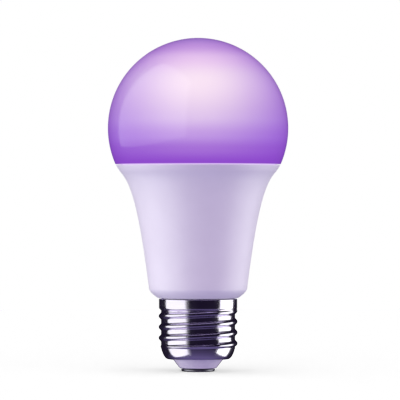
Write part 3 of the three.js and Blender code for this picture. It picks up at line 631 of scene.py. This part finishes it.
# Finishes of the pieces inside: two colours that noise mixes, the range of roughness, the width of the grain
# in millimetres, its relief and how metallic it is.
INNER_FINISHES = {
    "silicone": ((0.86, 0.86, 0.83), (0.93, 0.93, 0.91), (0.5, 0.7), 0.8, 0.02, 0),
    "bare_aluminium": ((0.68, 0.69, 0.71), (0.80, 0.81, 0.83), (0.3, 0.5), 0.6, 0.01, 1),
    "black_plastic": ((0.025, 0.025, 0.028), (0.05, 0.05, 0.055), (0.4, 0.6), 0.4, 0.01, 0),
    "thermal_pad": ((0.44, 0.48, 0.54), (0.54, 0.58, 0.64), (0.7, 0.9), 0.3, 0.03, 0),
    "white_board": ((0.88, 0.88, 0.85), (0.94, 0.94, 0.92), (0.4, 0.55), 0.7, 0.004, 0),
    "screw_steel": ((0.55, 0.55, 0.57), (0.68, 0.68, 0.70), (0.25, 0.45), 0.4, 0.01, 1),
    "green_board": ((0.02, 0.16, 0.06), (0.05, 0.28, 0.12), (0.3, 0.5), 1.2, 0.02, 0),
    "tinned_steel": ((0.62, 0.62, 0.62), (0.74, 0.74, 0.74), (0.3, 0.45), 0.8, 0.01, 1),
    "blue_coating": ((0.03, 0.11, 0.40), (0.06, 0.18, 0.52), (0.3, 0.5), 0.6, 0.03, 0),
    "green_coating": ((0.05, 0.22, 0.09), (0.09, 0.32, 0.14), (0.3, 0.5), 0.6, 0.03, 0),
    "yellow_case": ((0.66, 0.43, 0.05), (0.76, 0.53, 0.08), (0.35, 0.5), 0.8, 0.01, 0),
    "capacitor_sleeve": ((0.012, 0.014, 0.03), (0.03, 0.033, 0.05), (0.2, 0.35), 1.0, 0.01, 0),
    "ferrite": ((0.04, 0.04, 0.042), (0.08, 0.08, 0.085), (0.55, 0.8), 0.25, 0.04, 0),
    "copper_wire": ((0.50, 0.19, 0.07), (0.72, 0.32, 0.13), (0.25, 0.4), 0.3, 0.05, 1),
    "chip_package": ((0.03, 0.03, 0.033), (0.06, 0.06, 0.063), (0.5, 0.7), 0.15, 0.01, 0),
    "warm_led": ((0.85, 0.62, 0.18), (0.92, 0.72, 0.28), (0.3, 0.5), 0.3, 0.02, 0),
    "cool_led": ((0.88, 0.80, 0.30), (0.94, 0.88, 0.42), (0.3, 0.5), 0.3, 0.02, 0),
    "rgb_led": ((0.80, 0.78, 0.84), (0.90, 0.88, 0.94), (0.2, 0.4), 0.4, 0.01, 0),
    "red_insulation": ((0.45, 0.03, 0.02), (0.58, 0.06, 0.04), (0.35, 0.5), 0.6, 0.01, 0),
    "white_insulation": ((0.78, 0.77, 0.73), (0.86, 0.85, 0.82), (0.35, 0.5), 0.6, 0.01, 0),
}


def inner_finish(slot):
    darker, lighter, roughness, grain, relief, metallic = INNER_FINISHES[slot]
    finish = Finish(slot, Metallic=metallic)
    mottle = finish.noise(3 * grain, 4)
    finish.colour(finish.mix(finish.spread(mottle, 0, 1), (*darker, 1), (*lighter, 1)))
    finish.roughness(finish.noise(2 * grain, 3), *roughness)
    finish.bump(finish.noise(grain, 4), relief)
    return finish.material


# ---- The object ----

stand_in(diffuser(), "diffuser", opal())
stand_in(housing(), "housing", satin_plastic())
stand_in(screw_shell(), "screw_shell", nickel())
stand_in(cap_insulator(), "cap_insulator", cap_plastic())
stand_in(centre_contact(), "centre_contact", contact_in_painted_shade())

inner = {slot: inner_finish(slot) for slot in INNER_FINISHES}
for subpart in frame["record"]["subparts"]:
    if subpart["material_slot"] in inner:
        materials = frame["nodes"][subpart["node"]].data.materials
        materials.clear()
        materials.append(inner[subpart["material_slot"]])

# ---- Floor, lights and camera ----

FLOOR_HALF_WIDTH = 0.6

# The camera looks level, from far enough away to show almost no perspective. Metres, and millimetres of lens.
VIEW_WIDTH = 0.1331
VIEW_MIDDLE_HEIGHT = 0.0569
VIEW_MIDDLE_X = 0.00064
LENS = 300
SENSOR = 36
CLIP_END = 20

# Panels: the azimuths in degrees that each spans (0 is the camera's side and 90 its right), its lowest and
# highest edge in metres, and its radiance. Two faint strips soften the left panel's inner edge.
SOFTBOX_DISTANCE = 0.35
SOFTBOX_COLOUR = (0.94, 1, 0.86)
LEFT_HEIGHTS = (-0.4, 0.2)
SIDE_PANELS = {
    "left_softbox": ((-109, -37), LEFT_HEIGHTS, 1.45),
    "left_softbox_edge": ((-37, -32), LEFT_HEIGHTS, 0.45),
    "left_softbox_fringe": ((-32, -27), LEFT_HEIGHTS, 0.12),
    "right_softbox": ((68, 124), (-0.26, 0.17), 1.9),
}
DOME_SHEEN = ((-119.5, -15), (-0.03, 1.0), 1.65)

# The spot that brightens the dome's upper front.
SPOT_PLACE = (0, -0.7, 0.16)
SPOT_TARGET = (0.0006, 0, 0.095)
SPOT_REACH = 0.036
SPOT_POWER = 48
SPOT_COLOUR = (0.85, 1, 0.32)
SPOT_SIZE = 0.02

# Light from all round, on matte surfaces and in reflections, and the spans of a ray's upward part over which
# each changes to its colour from below.
FILL = (0.765, 0.645, 0.81)
FILL_FROM_BELOW = (0.13, 0.06, 0.34)
FILL_DESCENT = (0.05, -0.15)
REFLECTED = (0.013, 0.009, 0.022)
REFLECTED_FROM_BELOW = (0.14, 0.115, 0.24)
REFLECTED_DESCENT = (-0.4, -0.9)
WHITE = (1, 1, 1)


def floor():
    """Pale paper that shows white, with only the bulb's shadow on it."""
    mesh = bpy.data.meshes.new("floor")
    side = FLOOR_HALF_WIDTH
    corners = [(-side, -side, 0), (side, -side, 0), (side, side, 0), (-side, side, 0)]
    mesh.from_pydata(corners, [], [(0, 1, 2, 3)])
    piece = bpy.data.objects.new("floor", mesh)
    bpy.context.scene.collection.objects.link(piece)
    finish = Finish("floor_paper")
    fibres = finish.noise(40)
    finish.colour(finish.mix(finish.spread(fibres, 0, 1), (0.34, 0.31, 0.42, 1), (0.38, 0.35, 0.46, 1)))
    finish.roughness(finish.noise(8), 0.7, 0.8)
    mesh.materials.append(finish.material)
    piece.is_shadow_catcher = True
    piece.visible_diffuse = False
    piece.visible_glossy = False
    piece.visible_shadow = False
    return piece


def aimed(name, data, place, target):
    """A light that faces its target and isn't seen by the camera."""
    light = bpy.data.objects.new(name, data)
    light.location = place
    light.rotation_euler = (Vector(target) - Vector(place)).to_track_quat("-Z", "Y").to_euler()
    light.visible_camera = False
    bpy.context.scene.collection.objects.link(light)
    return light


def lights_only(light, pieces, link_state="INCLUDE"):
    """The light falls on these pieces alone, or with EXCLUDE on every piece but these."""
    receivers = bpy.data.collections.new(light.name + "_receivers")
    for receiver in pieces:
        receivers.objects.link(receiver)
    for member in receivers.collection_objects:
        member.light_linking.link_state = link_state
    light.light_linking.receiver_collection = receivers


def softbox(name, azimuths, heights, radiance):
    """An upright panel that spans two azimuths as seen from the axis."""
    width = 2 * SOFTBOX_DISTANCE * math.tan(math.radians(azimuths[1] - azimuths[0]) / 2)
    height = heights[1] - heights[0]
    angle = math.radians(sum(azimuths) / 2)
    middle = sum(heights) / 2
    data = bpy.data.lights.new(name, "AREA")
    data.shape = "RECTANGLE"
    data.size = width
    data.size_y = height
    data.energy = radiance * math.pi * width * height
    data.color = SOFTBOX_COLOUR
    place = (SOFTBOX_DISTANCE * math.sin(angle), -SOFTBOX_DISTANCE * math.cos(angle), middle)
    return aimed(name, data, place, (0, 0, middle))


def dome_spot():
    """A soft spot whose light falls to nothing at its reach from the target."""
    data = bpy.data.lights.new("front_spot", "SPOT")
    data.energy = SPOT_POWER
    data.color = SPOT_COLOUR
    data.spot_blend = 1
    data.shadow_soft_size = SPOT_SIZE
    data.spot_size = 2 * math.atan(SPOT_REACH / (Vector(SPOT_TARGET) - Vector(SPOT_PLACE)).length)
    light = aimed("front_spot", data, SPOT_PLACE, SPOT_TARGET)
    light.visible_glossy = False
    return light


def studio_world():
    """White behind the object, a violet fill on matte surfaces, and near-darkness in reflections."""
    world = bpy.data.worlds.new("studio")
    world.use_nodes = True
    tree = world.node_tree
    tree.nodes.clear()
    paths = tree.nodes.new("ShaderNodeLightPath")
    output = tree.nodes.new("ShaderNodeOutputWorld")

    def background(colour):
        node = tree.nodes.new("ShaderNodeBackground")
        node.inputs["Color"].default_value = (*colour, 1)
        return node.outputs[0]

    def choose(factor, otherwise, chosen):
        mix = tree.nodes.new("ShaderNodeMixShader")
        tree.links.new(factor, mix.inputs[0])
        tree.links.new(otherwise, mix.inputs[1])
        tree.links.new(chosen, mix.inputs[2])
        return mix.outputs[0]

    direction = tree.nodes.new("ShaderNodeSeparateXYZ")
    tree.links.new(tree.nodes.new("ShaderNodeTexCoord").outputs["Generated"], direction.inputs[0])

    def fallen(start, end):
        """The share by which a ray's upward part has fallen from start to end."""
        share = tree.nodes.new("ShaderNodeMapRange")
        share.inputs["From Min"].default_value = start
        share.inputs["From Max"].default_value = end
        tree.links.new(direction.outputs["Z"], share.inputs["Value"])
        return share.outputs[0]

    reflected = choose(fallen(*REFLECTED_DESCENT), background(REFLECTED), background(REFLECTED_FROM_BELOW))
    lit = choose(fallen(*FILL_DESCENT), background(FILL), background(FILL_FROM_BELOW))
    fill = choose(paths.outputs["Is Diffuse Ray"], reflected, lit)
    seen = choose(paths.outputs["Is Camera Ray"], fill, background(WHITE))
    tree.links.new(seen, output.inputs["Surface"])
    bpy.context.scene.world = world


def camera():
    """A long lens, level with the middle of the view."""
    data = bpy.data.cameras.new("camera")
    data.lens = LENS
    data.sensor_width = SENSOR
    data.clip_end = CLIP_END
    view = bpy.data.objects.new("camera", data)
    view.location = (VIEW_MIDDLE_X, -VIEW_WIDTH * LENS / SENSOR, VIEW_MIDDLE_HEIGHT)
    view.rotation_euler = (math.pi / 2, 0, 0)
    bpy.context.scene.collection.objects.link(view)
    bpy.context.scene.camera = view


floor_piece = floor()
dome = bpy.data.objects["diffuser_dome"]
for name, span in SIDE_PANELS.items():
    lights_only(softbox(name, *span), [floor_piece, dome], "EXCLUDE")
sheen = softbox("dome_sheen", *DOME_SHEEN)
sheen.visible_diffuse = False
lights_only(sheen, [dome])
lights_only(dome_spot(), [dome])
studio_world()
camera()
bpy.context.scene.view_settings.view_transform = "Standard"
